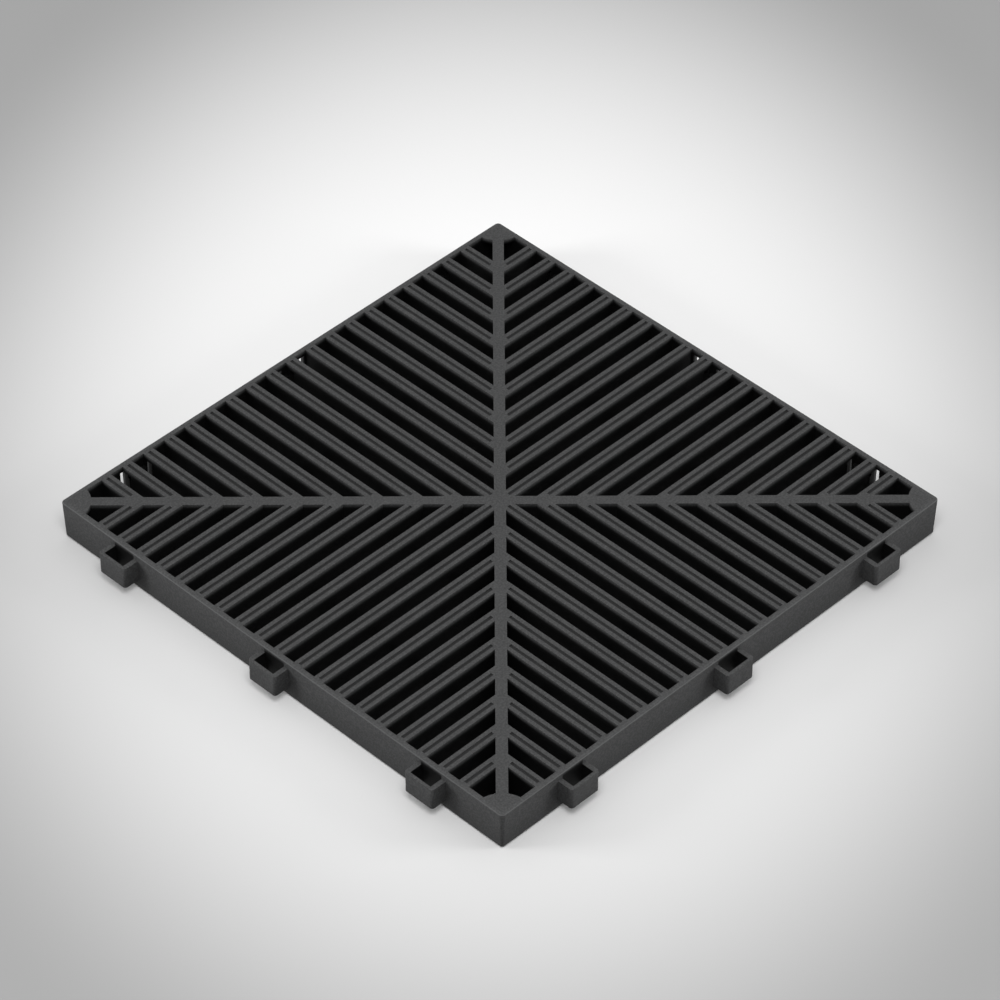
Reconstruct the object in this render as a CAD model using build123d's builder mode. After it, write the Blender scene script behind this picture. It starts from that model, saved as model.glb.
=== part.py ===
from build123d import *
import os
from math import atan, degrees, sqrt

os.makedirs("parts", exist_ok=True)

# Interlocking open-rib floor tile, moulded as one piece in polypropylene.
# Millimetres, +Z up. The origin is on the floor under the middle of the square,
# the loops stand out of the -X and -Y sides, and the +X and +Y sides take the
# loops of the next tiles.

# Square and its rim
tile_size = 400.0
tile_height = 30.0
drain_gap = 1.5  # floor to the lower edge of the rim
rim_width = 3.8
rim_draft = 1.3  # how far the rim leans in from its top to its lower edge
corner_radius = 3.0
lip_radius = 0.9

# Tread: ribs square to the nearest side, meeting on two diagonal bars
rib_steps = 22  # rib pitches along one side
first_rib = 2  # pitches from the corner to the first rib
rib_width = 8.0
rib_depth = 22.0
rib_wall = 1.9  # each wall of a rib, which is hollow from below
tread_skin = 2.8  # plastic over the hollow of a rib or a diagonal
diagonal_width = 7.6
diagonal_depth = 24.0
groove_width = 2.4
groove_depth = 1.0
groove_setback = 1.2  # rim or diagonal to the end of a groove
corner_plate_radius = 20.0
corner_plate_depth = 4.0

# Ties and feet below the tread
tie_ribs = (4, 8)  # ribs from the corner in line with each square ring of ties
tie_width = 2.4
tie_bottom = 4.0
tie_overlap = 2.0  # how far a tie reaches up into the ribs
foot_diameter = 7.0
diagonal_foot_ribs = (5, 8)  # ribs from the corner in line with the feet on a diagonal
side_foot_ribs = (7, 11, 15)  # ribs with a foot on the outer ring of ties
hub_diameter = 14.0
corner_foot_inset = 9.5  # side to the axis of a corner foot

# Snap joint: three loops a side, and on the other sides three tongues
latch_pitch = 139.0  # middle of the side to the outer latches
loop_width = 24.4
loop_reach = 11.2
loop_bar = 2.4
loop_arm = 3.7
loop_height = 16.2
loop_drop = 5.0  # tread to the top of a loop
loop_corner = 2.2
loop_root = 2.5  # how far an arm reaches into the rim
latch_play = 0.5  # free room round a seated loop and beside its tongue
tongue_slack = 1.8  # free room between a tongue and the bar of a seated loop
tongue_drop = 10.0  # tread to where a tongue thins to the rim

rib_pitch = tile_size / rib_steps
half_tile = tile_size / 2
draft_angle = degrees(atan(rim_draft / (tile_height - drain_gap)))
rib_bottom = tile_height - rib_depth
skin_bottom = tile_height - tread_skin
rib_rows = range(first_rib, rib_steps - first_rib + 1)
latch_places = (-latch_pitch, 0.0, latch_pitch)
rim_middle = rim_width / 2 + rim_draft / 2


def rib_reach(row):
    """Distance from the side to the diagonal along the rib of this row."""
    return min(row, rib_steps - row) * rib_pitch


def side_bars(width, start, setback):
    """Draw one bar per rib on all four sides, from start to setback short of the diagonal."""
    for side in range(4):
        with Locations(Location((0, 0, 0), (0, 0, 90 * side))):
            for row in rib_rows:
                end = rib_reach(row) - setback
                middle = (start + end) / 2 - half_tile
                with Locations((row * rib_pitch - half_tile, middle)):
                    Rectangle(width, end - start)


# Setbacks from the crossing point of a rib and a diagonal, along the rib
diagonal_edge = diagonal_width / 2 * sqrt(2)
channel_width = rib_width - 2 * rib_wall
channel_setback = diagonal_edge + channel_width / 2 + rib_wall
groove_end = diagonal_edge + groove_width / 2 + groove_setback

# Distances along a diagonal: its bar from the corner, its hollow from the middle
half_diagonal = half_tile * sqrt(2)
diagonal_start = rim_middle * sqrt(2) + diagonal_width / 2
hollow_inner = hub_diameter / 2 + rib_wall
hollow_outer = half_diagonal - corner_foot_inset * sqrt(2) - foot_diameter / 2 - rib_wall

# The loop's level and opening, and the tongue that drops into it
loop_top = tile_height - loop_drop
loop_bottom = loop_top - loop_height
loop_hole = loop_width - 2 * loop_arm
tongue_width = loop_hole - 2 * latch_play
tongue_thickness = loop_reach - loop_bar - tongue_slack
tongue_top = tile_height - tongue_drop
pocket_width = loop_width + 2 * latch_play
pocket_depth = loop_reach + latch_play
pocket_top = loop_top + latch_play


def latch_planes(turns, height):
    """Planes on the rim, one per latch: local X runs along the side, local Y into the tile."""
    return [
        Plane(Location((0, 0, height), (0, 0, turn)) * Location((place, -half_tile, 0)))
        for turn in turns
        for place in latch_places
    ]


# Turns about the middle that carry the -Y side to each side of a kind
loop_sides = (0, -90)
tongue_sides = (90, 180)

with BuildPart() as floor_tile:
    # Rim: the drafted block, rounded at its lip, then opened inside
    with BuildSketch(Plane.XY.offset(tile_height)):
        RectangleRounded(tile_size, tile_size, corner_radius)
    extrude(amount=drain_gap - tile_height, taper=draft_angle)
    fillet(floor_tile.faces().sort_by(Axis.Z)[-1].edges(), lip_radius)
    with BuildSketch():
        Rectangle(tile_size - 2 * rim_width, tile_size - 2 * rim_width)
    extrude(amount=tile_height, mode=Mode.SUBTRACT)

    # Ribs of the tread, from the rim to the diagonals
    with BuildSketch(Plane.XY.offset(tile_height)):
        side_bars(rib_width, rim_middle, 0)
    extrude(amount=-rib_depth)

    # Diagonal bars, deeper than the ribs
    with BuildSketch(Plane.XY.offset(tile_height)):
        for turn in (45, 135):
            Rectangle(2 * (half_diagonal - diagonal_start), diagonal_width, rotation=turn)
    extrude(amount=-diagonal_depth)

    # Corner plates
    with BuildSketch(Plane.XY.offset(tile_height)):
        with GridLocations(tile_size, tile_size, 2, 2):
            Circle(corner_plate_radius)
        Rectangle(tile_size - 2 * rim_middle, tile_size - 2 * rim_middle, mode=Mode.INTERSECT)
    extrude(amount=-corner_plate_depth)

    # Hollows under the ribs and the diagonals
    with BuildSketch(Plane.XY.offset(skin_bottom)):
        side_bars(channel_width, rim_width + rib_wall, channel_setback)
    extrude(amount=-rib_depth, mode=Mode.SUBTRACT)
    with BuildSketch(Plane.XY.offset(skin_bottom)):
        with PolarLocations((hollow_inner + hollow_outer) / 2, 4, start_angle=45):
            Rectangle(hollow_outer - hollow_inner, diagonal_width - 2 * rib_wall)
    extrude(amount=-diagonal_depth, mode=Mode.SUBTRACT)

    # Square rings of ties under the ribs
    with BuildSketch(Plane.XY.offset(tie_bottom)):
        for row in tie_ribs:
            side = tile_size - 2 * row * rib_pitch
            Rectangle(side + tie_width, side + tie_width)
            Rectangle(side - tie_width, side - tie_width, mode=Mode.SUBTRACT)
    extrude(amount=rib_bottom + tie_overlap - tie_bottom)

    # Feet under the diagonals, the side ribs, the corners and the middle
    with BuildSketch():
        spacing = tile_size - 2 * corner_foot_inset
        with GridLocations(spacing, spacing, 2, 2):
            Circle(foot_diameter / 2)
        for row in diagonal_foot_ribs:
            spacing = tile_size - 2 * row * rib_pitch
            with GridLocations(spacing, spacing, 2, 2):
                Circle(foot_diameter / 2)
        for side in range(4):
            with Locations(Location((0, 0, 0), (0, 0, 90 * side))):
                for row in side_foot_ribs:
                    foot_y = tie_ribs[0] * rib_pitch - half_tile
                    with Locations((row * rib_pitch - half_tile, foot_y)):
                        Circle(foot_diameter / 2)
        Circle(hub_diameter / 2)
    extrude(amount=tile_height - tread_skin / 2)

    # Grooves along the tops of the ribs
    with BuildSketch(Plane.XY.offset(tile_height)):
        side_bars(groove_width, rim_width + groove_setback, groove_end)
    extrude(amount=-groove_depth, mode=Mode.SUBTRACT)

    # Loops: a bar on two arms, open up and down
    with BuildSketch(*latch_planes(loop_sides, loop_bottom)) as loops:
        with Locations((0, (loop_root - loop_reach) / 2)):
            Rectangle(loop_width, loop_reach + loop_root)
        fillet(loops.vertices().group_by(Axis.Y)[0], loop_corner)
        with Locations((0, (loop_root + loop_bar - loop_reach) / 2)):
            Rectangle(loop_hole, loop_reach + loop_root - loop_bar, mode=Mode.SUBTRACT)
    extrude(amount=loop_height)

    # Tongues: the rim, thickened, between two slots, with a pocket behind for the bar
    with BuildSketch(*latch_planes(tongue_sides, drain_gap)):
        with Locations((0, (rim_middle + tongue_thickness) / 2)):
            Rectangle(tongue_width, tongue_thickness - rim_middle)
    extrude(amount=tongue_top - drain_gap)
    with BuildSketch(*latch_planes(tongue_sides, 0)):
        with Locations((0, (pocket_depth - latch_play) / 2)):
            Rectangle(pocket_width, pocket_depth + latch_play)
        with Locations((0, (tongue_thickness - latch_play) / 2)):
            Rectangle(tongue_width, tongue_thickness + latch_play, mode=Mode.SUBTRACT)
    extrude(amount=pocket_top, mode=Mode.SUBTRACT)

floor_tile.part.label = "floor_tile"
export_step(floor_tile.part, "parts/floor_tile.step")
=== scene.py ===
"""Looks of the interlocking floor tile: one black moulding, shown on a pale studio floor."""

import logging
import math
from dataclasses import dataclass, field
from enum import Enum

import bpy
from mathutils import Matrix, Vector


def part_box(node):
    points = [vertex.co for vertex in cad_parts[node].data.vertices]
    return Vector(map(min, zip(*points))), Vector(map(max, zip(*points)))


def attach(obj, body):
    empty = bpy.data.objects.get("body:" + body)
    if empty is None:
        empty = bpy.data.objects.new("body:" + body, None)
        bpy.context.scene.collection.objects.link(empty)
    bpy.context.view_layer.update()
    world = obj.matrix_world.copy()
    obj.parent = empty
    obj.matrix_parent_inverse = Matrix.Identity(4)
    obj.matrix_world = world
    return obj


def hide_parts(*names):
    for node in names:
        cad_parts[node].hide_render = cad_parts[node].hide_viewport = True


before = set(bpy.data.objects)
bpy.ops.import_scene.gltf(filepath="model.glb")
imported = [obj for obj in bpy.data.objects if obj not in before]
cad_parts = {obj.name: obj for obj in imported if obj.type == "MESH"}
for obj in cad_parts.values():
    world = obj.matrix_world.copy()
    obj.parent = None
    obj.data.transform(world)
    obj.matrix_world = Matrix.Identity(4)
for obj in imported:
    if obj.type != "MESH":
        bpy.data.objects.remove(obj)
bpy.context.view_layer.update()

NODE = "floor_tile"
MM = 0.001

log = logging.getLogger("floor_tile_scene")


class Blend(Enum):
    """How one colour is laid over another in a finish."""

    OVER = "MIX"
    DARKEN = "MULTIPLY"


class Signal:
    """A shader socket that takes part in plain arithmetic."""

    def __init__(self, bench: "Bench", socket: bpy.types.NodeSocket) -> None:
        """Hold one output socket.

        Args:
            bench: the bench whose tree the socket is in.
            socket: the output that carries the value.
        """
        self.bench = bench
        self.socket = socket

    def _math(self, operation: str, *terms: "Signal | float") -> "Signal":
        """Add a Math node for one operation.

        Args:
            operation: the Math node's operation.
            terms: its inputs, in order.

        Returns:
            The node's result.
        """
        node = self.bench.node("ShaderNodeMath", {"operation": operation}, dict(enumerate(terms)))
        return Signal(self.bench, node.outputs[0])

    def __add__(self, other: "Signal | float") -> "Signal":
        """Sum of two values."""
        return self._math("ADD", self, other)

    __radd__ = __add__

    def __sub__(self, other: "Signal | float") -> "Signal":
        """Difference of two values."""
        return self._math("SUBTRACT", self, other)

    def __rsub__(self, other: float) -> "Signal":
        """Difference with the number first."""
        return self._math("SUBTRACT", other, self)

    def __mul__(self, other: "Signal | float") -> "Signal":
        """Product of two values."""
        return self._math("MULTIPLY", self, other)

    __rmul__ = __mul__

    def __pow__(self, other: float) -> "Signal":
        """Power of a value."""
        return self._math("POWER", self, other)

    def __neg__(self) -> "Signal":
        """Value with its sign turned."""
        return self._math("MULTIPLY", self, -1.0)

    def __abs__(self) -> "Signal":
        """Size of a value without its sign."""
        return self._math("ABSOLUTE", self)

    def __or__(self, other: "Signal") -> "Signal":
        """Larger of two values."""
        return self._math("MAXIMUM", self, other)

    def __and__(self, other: "Signal") -> "Signal":
        """Smaller of two values."""
        return self._math("MINIMUM", self, other)

    def ramp(self, low: float, high: float) -> "Signal":
        """Smooth step from 0 at low to 1 at high.

        Args:
            low: value where the mask starts.
            high: value where the mask is full.

        Returns:
            A mask from 0 to 1.
        """
        settings = {"interpolation_type": "SMOOTHSTEP", "clamp": True}
        values = {"Value": self, "From Min": low, "From Max": high, "To Min": 0.0, "To Max": 1.0}
        node = self.bench.node("ShaderNodeMapRange", settings, values)
        return Signal(self.bench, node.outputs["Result"])


class Bench:
    """The node tree of one material, and the few ways in which nodes are added to it."""

    def __init__(self, name: str) -> None:
        """Start an empty material.

        Args:
            name: the material's name.
        """
        self.material = bpy.data.materials.new(name)
        self.material.use_nodes = True
        self.tree = self.material.node_tree
        self.tree.nodes.clear()

    def node(self, kind: str, settings: dict | None = None, values: dict | None = None) -> bpy.types.Node:
        """Add one node.

        Args:
            kind: the node's type name.
            settings: its own properties, set before its sockets.
            values: numbers, colours or signals for its input sockets, by name or place.

        Returns:
            The node.
        """
        node = self.tree.nodes.new(kind)
        for key, value in (settings or {}).items():
            setattr(node, key, value)
        for key, value in (values or {}).items():
            if isinstance(value, Signal):
                self.tree.links.new(value.socket, node.inputs[key])
            else:
                node.inputs[key].default_value = value
        return node

    def out(self, kind: str, output: str | int, settings: dict | None = None,
            **values: Signal | float | tuple) -> Signal:
        """Add one node and take one of its outputs.

        Args:
            kind: the node's type name.
            output: the output's name or place.
            settings: the node's own properties.
            values: its inputs, with an underscore for each space in a name.

        Returns:
            The output as a signal.
        """
        named = {key.replace("_", " "): value for key, value in values.items()}
        return Signal(self, self.node(kind, settings, named).outputs[output])

    def noise(self, place: Signal, size: float, detail: float = 2.0, roughness: float = 0.5) -> Signal:
        """Noise with lumps of about one size.

        Args:
            place: the point in space.
            size: width of a lump in metres.
            detail: octaves of finer noise.
            roughness: how strong the finer octaves are.

        Returns:
            A value round 0.5.
        """
        return self.out("ShaderNodeTexNoise", "Fac", {"noise_dimensions": "3D"}, Vector=place,
                        Scale=1 / size, Detail=detail, Roughness=roughness)

    def mix(self, mask: Signal | float, low: Signal | tuple, high: Signal | tuple,
            blend: Blend = Blend.OVER) -> Signal:
        """Lay one colour over another.

        Args:
            mask: how much of the upper colour shows.
            low: the lower colour.
            high: the upper colour.
            blend: how the upper colour acts.

        Returns:
            The mixed colour.
        """
        settings = {"data_type": "RGBA", "blend_type": blend.value}
        node = self.node("ShaderNodeMix", settings, {0: mask, 6: low, 7: high})
        return Signal(self, node.outputs[2])

    def split(self, vector: Signal) -> tuple[Signal, Signal, Signal]:
        """Take a vector apart.

        Args:
            vector: the vector.

        Returns:
            Its X, Y and Z.
        """
        node = self.node("ShaderNodeSeparateXYZ", values={0: vector})
        return tuple(Signal(self, socket) for socket in node.outputs)

    def surface(self, **values: Signal | float | tuple) -> bpy.types.Material:
        """Add the Principled shader, which ends the material.

        Args:
            values: the shader's inputs, with an underscore for each space in a name.

        Returns:
            The material.
        """
        shader = self.out("ShaderNodeBsdfPrincipled", "BSDF", None, **values)
        self.node("ShaderNodeOutputMaterial", values={"Surface": shader})
        return self.material


def grey(level: float) -> tuple[float, float, float, float]:
    """Opaque neutral colour of one level."""
    return (level, level, level, 1.0)


def show(name: str, mesh: bpy.types.Mesh) -> bpy.types.Object:
    """Put a mesh into the scene as an object of its own.

    Args:
        name: the object's name.
        mesh: its mesh.

    Returns:
        The object.
    """
    piece = bpy.data.objects.new(name, mesh)
    bpy.context.scene.collection.objects.link(piece)
    return piece


@dataclass(frozen=True)
class LatchHoles:
    """Where the openings of the snap loops are, on the two sides that carry loops. The faces lining them
    are painted nearly black as painted shade.

    A pair says where a fade starts and where it ends.
    """

    pitch: float = 139 * MM
    half_width: float = 8.5 * MM
    depth: float = 8.8 * MM
    bottom: float = 8.8 * MM
    top: float = 29.2 * MM
    edge_fade: tuple[float, float] = (0.15 * MM, 0.5 * MM)  # outwards from an opening
    top_fade: tuple[float, float] = (0.9 * MM, 0.1 * MM)  # down from the top
    bottom_fade: float = 0.5 * MM

    def mask(self, x: Signal, y: Signal, z: Signal, half_side: float) -> Signal:
        """Mark the faces that line the openings, which take painted shade.

        Args:
            x: place across the tile.
            y: place along the tile.
            z: height above the floor.
            half_side: half the side of the square.

        Returns:
            1 on the arms and bar inside an opening and on the wall behind it, and 0 elsewhere.
        """
        near, far = self.edge_fade
        deep, shallow = self.top_fade
        outwards = (-x) | (-y)
        along = abs(x + y + outwards)
        sideways = along & abs(along - self.pitch)
        between_arms = 1 - sideways.ramp(self.half_width + near, self.half_width + far)
        within_bar = 1 - (outwards - half_side).ramp(self.depth + near, self.depth + far)
        below_top = 1 - z.ramp(self.top - deep, self.top - shallow)
        above_bottom = z.ramp(self.bottom - self.bottom_fade, self.bottom)
        return between_arms & within_bar & below_top & above_bottom


@dataclass(frozen=True)
class TileFaces:
    """The kinds of face that a moulded tile has, each a mask from 0 to 1."""

    outside: Signal
    grained_and_lit: Signal
    groove: Signal
    underside: Signal
    rounding: Signal
    level: Signal
    wall_height: Signal


@dataclass(frozen=True)
class MouldedPlastic:
    """Dark charcoal polypropylene with a spark-eroded grain on its outer faces.

    The outer faces are greyer than the plastic itself, because the grain scatters light. The faces
    inside the gaps and the loop openings are nearly black with painted shade, partly the smooth bare
    plastic, and the rib sides are painted lighter towards the tread as painted light. The walls are
    painted darker at the foot and lighter at the top, the groove floors carry painted shade, and the
    rounded edges are paler with wear and a painted highlight. A pair says where a mask starts and where
    it is full: a depth, the upward part of a face's normal, or a value of noise.
    """

    grained_colour: tuple = (0.052, 0.0525, 0.053, 1.0)
    pale_grain_and_highlight_colour: tuple = (0.088, 0.089, 0.09, 1.0)
    # painted shade: nearly black for the faces in the gaps and loop openings, partly the smooth bare
    # plastic
    bare_and_shaded_colour: tuple = (0.004, 0.004, 0.0041, 1.0)
    dark_grain_and_groove_shade_colour: tuple = (0.029, 0.029, 0.0293, 1.0)
    underside_colour: tuple = (0.028, 0.028, 0.0285, 1.0)
    dust_colour: tuple = (0.115, 0.113, 0.108, 1.0)

    # painted light: the rib sides are painted lighter within this depth below the tread
    tread_depth: tuple[float, float] = (4.2 * MM, 0.2 * MM)
    tread_power: float = 1.6  # painted light: above 1, the lighter tone fades out faster down a rib side
    rim_depth: tuple[float, float] = (3.0 * MM, 2.2 * MM)
    # where the groove floors get painted shade
    groove_depth: tuple[float, float] = (0.4 * MM, 0.8 * MM)
    groove_up: tuple[float, float] = (0.5, 0.9)
    groove_tread: tuple[float, float] = (0.1, 0.3)  # how much tread a groove has to lie in
    underside_up: tuple[float, float] = (-0.4, -0.9)
    rounding_up: tuple[float, float] = (0.05, 0.5)
    level_up: tuple[float, float] = (0.8, 0.99)
    dust_up: tuple[float, float] = (0.9, 1.0)

    grain_size: float = 1.3 * MM
    fine_grain_size: float = 0.45 * MM
    mottle_size: float = 14 * MM
    pale_grain: tuple[float, float] = (0.45, 0.65)
    dark_grain: tuple[float, float] = (0.5, 0.35)
    dusty_mottle: tuple[float, float] = (0.55, 0.8)
    pale_grain_share: float = 0.45
    dark_grain_share: float = 0.35
    dust_share: float = 0.12
    # wear and painted highlight on the rounded edges
    worn_edge_and_highlight_share: float = 0.65
    mottle_share: float = 0.16
    painted_wall_shade: float = 0.36  # painted shade and light: how much darker a wall's foot is than its top
    wall_middle: float = 0.65  # where between the two a wall has its own colour

    grain_height: float = 0.06 * MM
    coarse_relief: float = 0.65
    bare_relief: float = 0.25
    grained_roughness: float = 0.62
    edge_roughness: float = 0.48
    bare_roughness: float = 0.55
    roughness_spread: float = 0.12
    refraction: float = 1.49
    shine: float = 0.12
    shaded_hole_linings: LatchHoles = field(default_factory=LatchHoles)

    def faces(self, place: Signal, up: Signal, tread: float, half_side: float) -> TileFaces:
        """Tell the kinds of face apart by where they are and how they slope.

        Args:
            place: the point on the tile.
            up: the upward part of the face's normal.
            tread: height of the tread above the floor.
            half_side: half the side of the square.

        Returns:
            The masks.
        """
        x, y, z = place.bench.split(place)
        low, high = (tread - depth for depth in self.tread_depth)
        # painted light: the rib sides get lighter towards the tread
        top = z.ramp(low, high) ** self.tread_power
        inner, outer = (half_side - depth for depth in self.rim_depth)
        # the faces lining the loop openings are left out, so they take the nearly black painted shade
        outside = (abs(x) | abs(y)).ramp(inner, outer) & (1 - self.shaded_hole_linings.mask(x, y, z, half_side))
        shallow, deep = (tread - depth for depth in self.groove_depth)
        sunk = 1 - z.ramp(deep, shallow)
        facing_down, straight_down = self.underside_up
        return TileFaces(
            outside=outside,
            grained_and_lit=top | outside,
            groove=up.ramp(*self.groove_up) & sunk & top.ramp(*self.groove_tread),
            underside=1 - up.ramp(straight_down, facing_down),
            rounding=up.ramp(*self.rounding_up) * (1 - up.ramp(*self.level_up)) * top,
            level=up.ramp(*self.dust_up),
            wall_height=z.ramp(0, tread),
        )

    def colour(self, bench: Bench, faces: TileFaces, grain: Signal, mottle: Signal) -> Signal:
        """Lay the colours of the faces, the grain and the dust over each other.

        Args:
            bench: the material's bench.
            faces: the kinds of face.
            grain: the coarse grain.
            mottle: the broad unevenness.

        Returns:
            The base colour.
        """
        faint, strong = self.dark_grain
        pale = faces.grained_and_lit * grain.ramp(*self.pale_grain) * self.pale_grain_share
        dark = faces.grained_and_lit * (1 - grain.ramp(strong, faint)) * self.dark_grain_share
        dust = mottle.ramp(*self.dusty_mottle) * faces.level * self.dust_share
        # painted shade at the foot of the outer walls and painted light near their top
        shade = faces.outside * (faces.wall_height - self.wall_middle) * self.painted_wall_shade
        strength = 1.0 + (mottle - 0.5) * self.mottle_share + shade
        mottle_and_wall_shading = bench.out("ShaderNodeCombineColor", 0, None, Red=strength, Green=strength, Blue=strength)

        # nearly black painted shade on the faces in the gaps and loop openings, partly the smooth bare
        # plastic
        colour = bench.mix(faces.underside, self.bare_and_shaded_colour, self.underside_colour)
        colour = bench.mix(faces.grained_and_lit, colour, self.grained_colour)
        colour = bench.mix(pale, colour, self.pale_grain_and_highlight_colour)
        colour = bench.mix(dark, colour, self.dark_grain_and_groove_shade_colour)
        # paler rounded edges near the tread: wear and a painted highlight
        colour = bench.mix(faces.rounding * self.worn_edge_and_highlight_share, colour, self.pale_grain_and_highlight_colour)
        # painted shade on the groove floors
        colour = bench.mix(faces.groove, colour, self.dark_grain_and_groove_shade_colour)
        colour = bench.mix(dust, colour, self.dust_colour)
        return bench.mix(1.0, colour, mottle_and_wall_shading, Blend.DARKEN)

    def roughness(self, faces: TileFaces, fine: Signal) -> Signal:
        """Work out how dull each face is.

        Args:
            faces: the kinds of face.
            fine: the fine grain.

        Returns:
            The roughness.
        """
        rough = self.bare_roughness + faces.grained_and_lit * (self.grained_roughness - self.bare_roughness)
        worn = faces.rounding * (self.grained_roughness - self.edge_roughness)
        return rough - worn + (fine - 0.5) * self.roughness_spread

    def material(self, tread: float, half_side: float) -> bpy.types.Material:
        """Make the material.

        Args:
            tread: height of the tread above the floor.
            half_side: half the side of the square.

        Returns:
            The finished material.
        """
        bench = Bench("charcoal_polypropylene")
        coordinates = bench.node("ShaderNodeTexCoord")
        place = Signal(bench, coordinates.outputs["Object"])
        up = bench.split(Signal(bench, coordinates.outputs["Normal"]))[2]
        faces = self.faces(place, up, tread, half_side)

        grain = bench.noise(place, self.grain_size, detail=3.0, roughness=0.6)
        fine = bench.noise(place, self.fine_grain_size)
        mottle = bench.noise(place, self.mottle_size, detail=4.0, roughness=0.55)

        relief = grain * self.coarse_relief + fine * (1 - self.coarse_relief)
        depth = self.bare_relief + faces.grained_and_lit * (1 - self.bare_relief)
        bump = bench.out("ShaderNodeBump", "Normal", None, Strength=1.0,
                         Distance=self.grain_height, Height=relief * depth)
        return bench.surface(Base_Color=self.colour(bench, faces, grain, mottle),
                             Roughness=self.roughness(faces, fine), Normal=bump,
                             IOR=self.refraction, Specular_IOR_Level=self.shine)


@dataclass
class TileMoulding:
    """The tile itself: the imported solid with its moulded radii."""

    edge_radius: float = 0.55 * MM
    edge_steps: int = 2
    sharp_angle: float = math.radians(35)
    flat_angle: float = math.radians(0.5)
    weld_distance: float = 0.001 * MM
    finish: MouldedPlastic = field(default_factory=MouldedPlastic)

    def build(self) -> bpy.types.Object:
        """Make the visible tile.

        Returns:
            The finished piece, riding on the root body.
        """
        tile = show("tile_moulding", self.rounded_mesh())
        _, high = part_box(NODE)
        tile.data.materials.clear()
        tile.data.materials.append(self.finish.material(high.z, high.x))
        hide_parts(NODE)
        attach(tile, "root")
        return tile

    def rounded_mesh(self) -> bpy.types.Mesh:
        """Copy the solid's mesh, join its facets and round its edges.

        Returns:
            The new mesh.
        """
        work = show("tile_work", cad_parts[NODE].data.copy())
        self.add_rounding(work)
        view = bpy.context.evaluated_depsgraph_get()
        mesh = bpy.data.meshes.new_from_object(work.evaluated_get(view))
        bpy.data.objects.remove(work)
        mesh.name = "tile_moulding"
        return mesh

    def add_rounding(self, work: bpy.types.Object) -> None:
        """Stack the modifiers that make radii out of sharp facets.

        Args:
            work: the object to modify.
        """
        weld = work.modifiers.new("weld", "WELD")
        weld.merge_threshold = self.weld_distance
        flats = work.modifiers.new("flats", "DECIMATE")
        flats.decimate_type = "DISSOLVE"
        flats.angle_limit = self.flat_angle
        radii = work.modifiers.new("radii", "BEVEL")
        radii.width = self.edge_radius
        radii.segments = self.edge_steps
        radii.limit_method = "ANGLE"
        radii.angle_limit = self.sharp_angle
        radii.harden_normals = True


@dataclass(frozen=True)
class FloorPaint:
    """Pale matt paint with a painted pool of light, palest in an oval round the tile and greyer outwards.

    Only what is seen of the floor is so pale. The light that it throws up at the tile is that of a
    darker floor, which keeps the gaps between the ribs dark.
    """

    light_pool_level: float = 0.93
    outer_level: float = 0.345
    bounce_level: float = 0.3
    pool_radius: float = 0.445  # from left to right
    pool_start: float = -0.15  # below 0, the pool falls off from its very middle
    pool_length: float = 1.46  # how much longer the pool is from the front corner to the back one
    pool_shift: float = 0.1  # middle of the pool, towards the back corner
    roughness: float = 0.9
    shine: float = 0.1

    def material(self) -> bpy.types.Material:
        """Make the paint.

        Returns:
            The finished material.
        """
        bench = Bench("floor_paint")
        x, y, _ = bench.split(bench.out("ShaderNodeTexCoord", "Object"))
        across = (x - y) * math.sqrt(0.5)
        along = ((x + y) * math.sqrt(0.5) - self.pool_shift) * (1 / self.pool_length)
        outwards = (across * across + along * along) * (1 / self.pool_radius ** 2)
        # painted pool of light: the floor greys away from the tile
        away = outwards.ramp(self.pool_start, 1.0)
        light_pool_colour = bench.mix(away, grey(self.light_pool_level), grey(self.outer_level))
        rays = bench.node("ShaderNodeLightPath").outputs
        camera, glossy, through = (Signal(bench, rays[f"Is {kind} Ray"])
                                   for kind in ("Camera", "Glossy", "Transmission"))
        colour = bench.mix(camera | glossy | through, grey(self.bounce_level), light_pool_colour)
        return bench.surface(Base_Color=colour, Roughness=self.roughness, Specular_IOR_Level=self.shine)


@dataclass(frozen=True)
class CurtainCloth:
    """Dull black cloth that takes light away."""

    level: float = 0.02
    roughness: float = 0.95

    def material(self) -> bpy.types.Material:
        """Make the cloth."""
        return Bench("curtain_cloth").surface(Base_Color=grey(self.level), Roughness=self.roughness)


@dataclass(frozen=True)
class SoftLamp:
    """One square soft lamp that faces the middle of the tile."""

    name: str
    place: tuple[float, float, float]
    size: float
    power: float

    def hang(self) -> None:
        """Put the lamp into the scene."""
        light = bpy.data.lights.new(self.name, "AREA")
        light.shape = "SQUARE"
        light.size = self.size
        light.energy = self.power
        lamp = bpy.data.objects.new(self.name, light)
        lamp.location = self.place
        lamp.rotation_euler = (-Vector(self.place)).to_track_quat("-Z", "Y").to_euler()
        bpy.context.scene.collection.objects.link(lamp)


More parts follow.
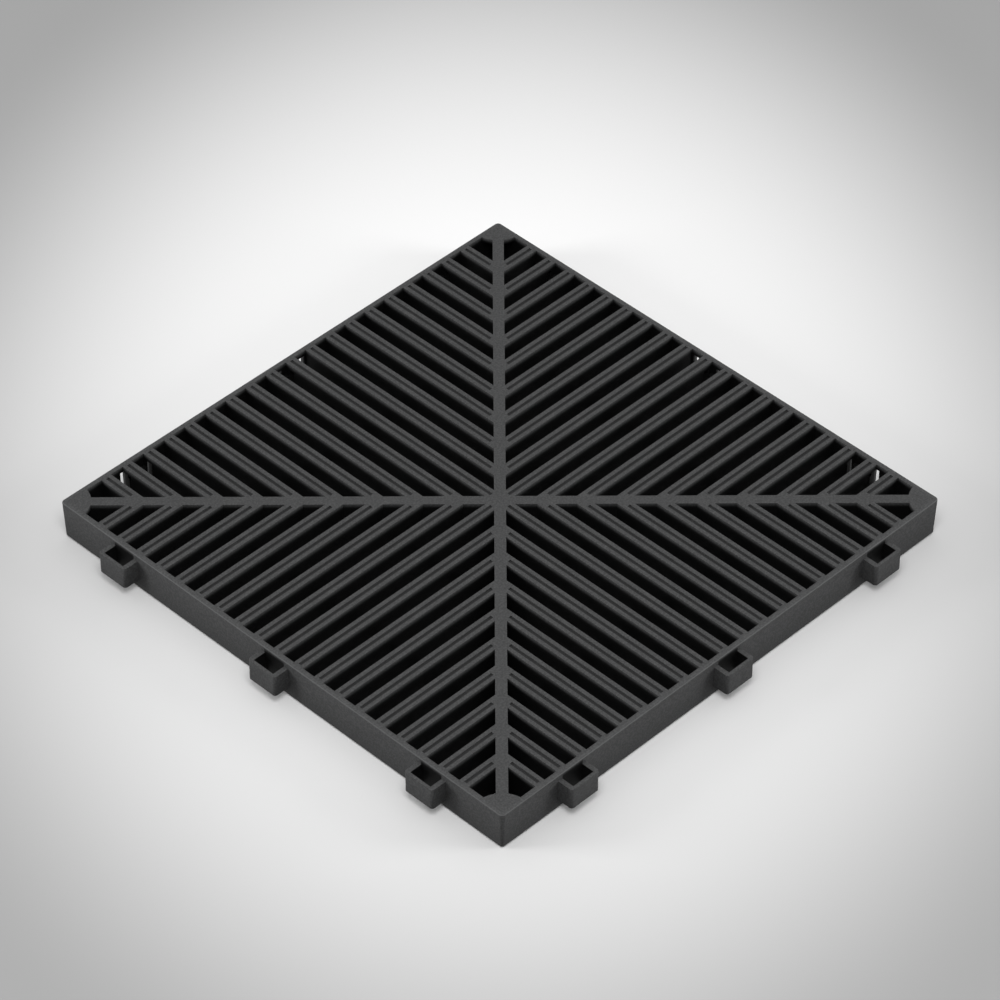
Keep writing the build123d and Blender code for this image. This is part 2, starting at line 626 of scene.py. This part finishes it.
@dataclass
class Studio:
    """Pale floor and a dark curtain, under three soft lamps and an even sky."""

    floor_half: float = 6.0
    curtain_place: float = 3.2  # how far it hangs from the tile, out from the front corner
    curtain_half_width: float = 3.2
    curtain_height: float = 3.0
    sky_strength: float = 0.66
    lamps: tuple[SoftLamp, ...] = (
        SoftLamp("overhead", place=(-0.95, -0.95, 2.4), size=1.1, power=33),
        SoftLamp("left_softbox", place=(-2.4, 2.0, 1.0), size=1.0, power=47),
        SoftLamp("right_softbox", place=(2.0, -2.4, 1.0), size=1.0, power=39),
    )
    paint: FloorPaint = field(default_factory=FloorPaint)
    cloth: CurtainCloth = field(default_factory=CurtainCloth)

    def sheet(self, name: str, corners: list, material: bpy.types.Material) -> bpy.types.Object:
        """Set up one four-cornered sheet of the studio.

        Args:
            name: the sheet's name.
            corners: its corners, in order.
            material: its finish.

        Returns:
            The sheet.
        """
        mesh = bpy.data.meshes.new(name)
        mesh.from_pydata(corners, [], [(0, 1, 2, 3)])
        mesh.materials.append(material)
        sheet = show(name, mesh)
        return sheet

    def build_floor(self) -> bpy.types.Object:
        """Lay the floor that the tile's feet stand on.

        Returns:
            The floor.
        """
        rim = self.floor_half
        corners = [(-rim, -rim, 0), (rim, -rim, 0), (rim, rim, 0), (-rim, rim, 0)]
        return self.sheet("studio_floor", corners, self.paint.material())

    def build_curtain(self) -> bpy.types.Object:
        """Hang the dark curtain at the front of the studio, which darkens the sides of the loops.

        Returns:
            The curtain, which the camera doesn't see.
        """
        foot = Vector((-1, -1, 0)).normalized() * self.curtain_place
        across = Vector((1, -1, 0)).normalized() * self.curtain_half_width
        rise = Vector((0, 0, self.curtain_height))
        corners = [foot - across, foot + across, foot + across + rise, foot - across + rise]
        curtain = self.sheet("studio_curtain", corners, self.cloth.material())
        curtain.visible_camera = False
        return curtain

    def build_light(self) -> None:
        """Hang the lamps and set the sky."""
        for lamp in self.lamps:
            lamp.hang()
        world = bpy.data.worlds.new("studio_world")
        bpy.context.scene.world = world
        world.use_nodes = True
        sky = world.node_tree.nodes["Background"]
        sky.inputs["Color"].default_value = grey(1.0)
        sky.inputs["Strength"].default_value = self.sky_strength


@dataclass
class Viewpoint:
    """The camera, placed as in the photograph and turned to one tile."""

    place_in_sides: tuple[float, float, float] = (-4.22, -4.18, 5.42)
    lens: float = 180.0
    sensor: float = 36.0
    sight: float = 50.0  # how far the camera sees

    def build(self, side: float, tread: float) -> bpy.types.Object:
        """Set up the camera.

        Args:
            side: side of the square.
            tread: height of the tread.

        Returns:
            The camera.
        """
        data = bpy.data.cameras.new("viewpoint")
        data.lens = self.lens
        data.sensor_width = self.sensor
        data.clip_end = self.sight
        camera = bpy.data.objects.new("viewpoint", data)
        aim = Vector((0, 0, tread))
        camera.location = aim + side * Vector(self.place_in_sides)
        camera.rotation_euler = (aim - camera.location).to_track_quat("-Z", "Y").to_euler()
        bpy.context.scene.collection.objects.link(camera)
        bpy.context.scene.camera = camera
        return camera


def main() -> None:
    """Build the tile, its floor, light and camera, and report each piece."""
    logging.basicConfig(level=logging.INFO, format="%(name)s: %(message)s")
    bpy.context.scene.view_settings.view_transform = "Standard"
    tile = TileMoulding().build()
    log.info("%s: %d faces", tile.name, len(tile.data.polygons))
    _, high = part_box(NODE)
    studio = Studio()
    log.info("floor %s, curtain %s", studio.build_floor().name, studio.build_curtain().name)
    studio.build_light()
    log.info("camera %s", Viewpoint().build(2 * high.x, high.z).name)


if __name__ == "__main__":
    main()
